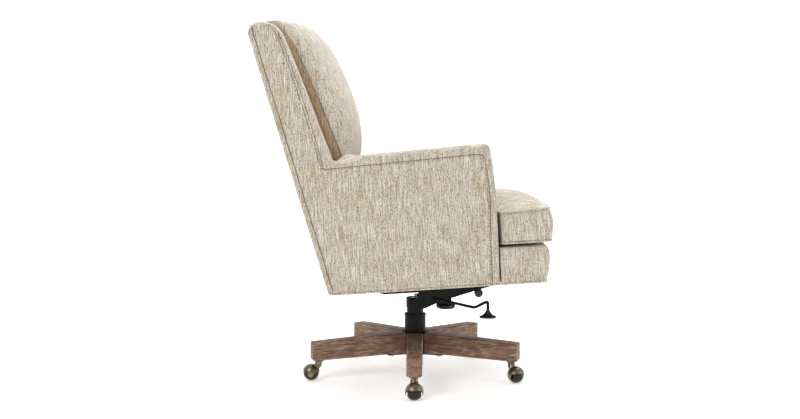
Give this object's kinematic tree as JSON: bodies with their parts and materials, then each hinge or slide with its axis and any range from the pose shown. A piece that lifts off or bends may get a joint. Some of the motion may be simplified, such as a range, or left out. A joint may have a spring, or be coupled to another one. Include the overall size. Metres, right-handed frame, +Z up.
{
  "type": "executive swivel chair",
  "caption": "High-backed upholstered executive swivel chair with track arms, a T-shaped seat cushion, a swivel-tilt mechanism and a wooden star base on hooded ball casters.",
  "frame": {"origin": "on the floor, on the swivel axis", "axes": "+X the way the sitter faces, +Y the sitter's left, +Z up"},
  "size_m": [0.8705, 0.7003, 1.0784],
  "materials": {
    "weathered_wood": "limed, weathered driftwood brown, matt",
    "plated_steel": "zinc plated",
    "black_steel": "satin black powder coat",
    "nylon": "natural nylon",
    "antique_brass": "antique brass plate, dark in the recesses",
    "caster_ball": "dark gloss",
    "moulded_black": "satin moulded black",
    "tweed": "oatmeal slub tweed with tan and grey-brown flecks",
    "frame_hardwood": "plain sawn hardwood",
    "cambric": "black woven dust cover"
  },
  "bodies": {
    "base": {"base_hub": "black_steel", "leg_1": "weathered_wood", "leg_2": "weathered_wood", "leg_3": "weathered_wood", "leg_4": "weathered_wood", "leg_5": "weathered_wood", "leg_bolt_1": "plated_steel", "leg_bolt_2": "plated_steel", "leg_bolt_3": "plated_steel", "leg_bolt_4": "plated_steel", "leg_bolt_5": "plated_steel", "outer_tube": "black_steel", "guide_bush": "nylon"},
    "column_rod": {"piston_rod": "plated_steel", "thrust_bearing": "plated_steel"},
    "mechanism": {"gas_cylinder": "plated_steel", "tilt_housing": "black_steel", "tilt_axle": "plated_steel", "tension_spring": "plated_steel"},
    "release_pin": {"release_pin": "plated_steel"},
    "tension_knob": {"tension_knob": "moulded_black", "tension_bolt": "plated_steel"},
    "lift_lever": {"lift_lever": "moulded_black", "lever_paddle": "moulded_black"},
    "seat": {"seat_plate": "black_steel", "side_right": "tweed", "side_left": "tweed", "outside_back": "tweed", "back_deck": "frame_hardwood", "back_cushion": "tweed", "front_border": "tweed", "seat_deck": "tweed", "seat_rail_1": "frame_hardwood", "seat_rail_2": "frame_hardwood", "seat_rail_3": "frame_hardwood", "dust_cover": "cambric", "seat_cushion": "tweed"},
    "tilt_lock": {"tilt_lock_rod": "plated_steel", "tilt_lock_knob": "moulded_black"},
    "caster_1": {"caster_hood_1": "antique_brass", "caster_stem_1": "plated_steel", "caster_axle_1": "plated_steel"},
    "wheel_1": {"caster_wheel_1": "caster_ball"},
    "caster_2": {"caster_hood_2": "antique_brass", "caster_stem_2": "plated_steel", "caster_axle_2": "plated_steel"},
    "wheel_2": {"caster_wheel_2": "caster_ball"},
    "caster_3": {"caster_hood_3": "antique_brass", "caster_stem_3": "plated_steel", "caster_axle_3": "plated_steel"},
    "wheel_3": {"caster_wheel_3": "caster_ball"},
    "caster_4": {"caster_hood_4": "antique_brass", "caster_stem_4": "plated_steel", "caster_axle_4": "plated_steel"},
    "wheel_4": {"caster_wheel_4": "caster_ball"},
    "caster_5": {"caster_hood_5": "antique_brass", "caster_stem_5": "plated_steel", "caster_axle_5": "plated_steel"},
    "wheel_5": {"caster_wheel_5": "caster_ball"}
  },
  "joints": [
    {"name": "column_swivel", "type": "hinge", "parent": "base", "child": "column_rod", "pos_m": [0, 0, 0.07], "axis": [0, 0, 1], "continuous": true},
    {"name": "seat_lift", "type": "slide", "parent": "column_rod", "child": "mechanism", "axis": [0, 0, 1], "range_m": [0, 0.08]},
    {"name": "release_pin_press", "type": "slide", "parent": "mechanism", "child": "release_pin", "axis": [0, 0, -1], "range_m": [0, 0.0058], "stiffness_N_per_m": 400, "springref_m": -0.003},
    {"name": "tension_knob_turn", "type": "hinge", "parent": "mechanism", "child": "tension_knob", "pos_m": [0.096, 0, 0.2153], "axis": [0, 0, 1], "range_deg": [-720, 720]},
    {"name": "lift_lever_pull", "type": "hinge", "parent": "mechanism", "child": "lift_lever", "pos_m": [0.055, 0, 0.244], "axis": [0, -1, 0], "range_deg": [0, 6], "stiffness_Nm_per_rad": 0.8, "springref_deg": -2.86},
    {"name": "seat_tilt", "type": "hinge", "parent": "mechanism", "child": "seat", "pos_m": [0.045, 0, 0.27], "axis": [0, -1, 0], "range_deg": [0, 12], "stiffness_Nm_per_rad": 180, "springref_deg": -28.65},
    {"name": "tilt_lock_pull", "type": "slide", "parent": "seat", "child": "tilt_lock", "axis": [0, -1, 0], "range_m": [0, 0.01]},
    {"name": "caster_swivel_1", "type": "hinge", "parent": "base", "child": "caster_1", "pos_m": [-0.0075, -0.30691, 0.06], "axis": [0, 0, 1], "continuous": true},
    {"name": "wheel_roll_1", "type": "hinge", "parent": "caster_1", "child": "wheel_1", "pos_m": [-0.0075, -0.33091, 0.024], "axis": [1, 0, 0], "continuous": true},
    {"name": "caster_swivel_2", "type": "hinge", "parent": "base", "child": "caster_2", "pos_m": [0.28957, -0.10197, 0.06], "axis": [0, 0, 1], "continuous": true},
    {"name": "wheel_roll_2", "type": "hinge", "parent": "caster_2", "child": "wheel_2", "pos_m": [0.30157, -0.12276, 0.024], "axis": [0.866, 0.5, 0], "continuous": true},
    {"name": "caster_swivel_3", "type": "hinge", "parent": "base", "child": "caster_3", "pos_m": [0.18646, 0.24388, 0.06], "axis": [0, 0, 1], "continuous": true},
    {"name": "wheel_roll_3", "type": "hinge", "parent": "caster_3", "child": "wheel_3", "pos_m": [0.19268, 0.26707, 0.024], "axis": [-0.9659, 0.2588, 0], "continuous": true},
    {"name": "caster_swivel_4", "type": "hinge", "parent": "base", "child": "caster_4", "pos_m": [-0.17433, 0.2527, 0.06], "axis": [0, 0, 1], "continuous": true},
    {"name": "wheel_roll_4", "type": "hinge", "parent": "caster_4", "child": "wheel_4", "pos_m": [-0.19511, 0.2647, 0.024], "axis": [-0.5, -0.866, 0], "continuous": true},
    {"name": "caster_swivel_5", "type": "hinge", "parent": "base", "child": "caster_5", "pos_m": [-0.2942, -0.08771, 0.06], "axis": [0, 0, 1], "continuous": true},
    {"name": "wheel_roll_5", "type": "hinge", "parent": "caster_5", "child": "wheel_5", "pos_m": [-0.31821, -0.08771, 0.024], "axis": [0, -1, 0], "continuous": true}
  ],
  "couplings": [
    {"joint": "release_pin_press", "follows": "lift_lever_pull", "m_per_rad": 0.055}
  ]
}
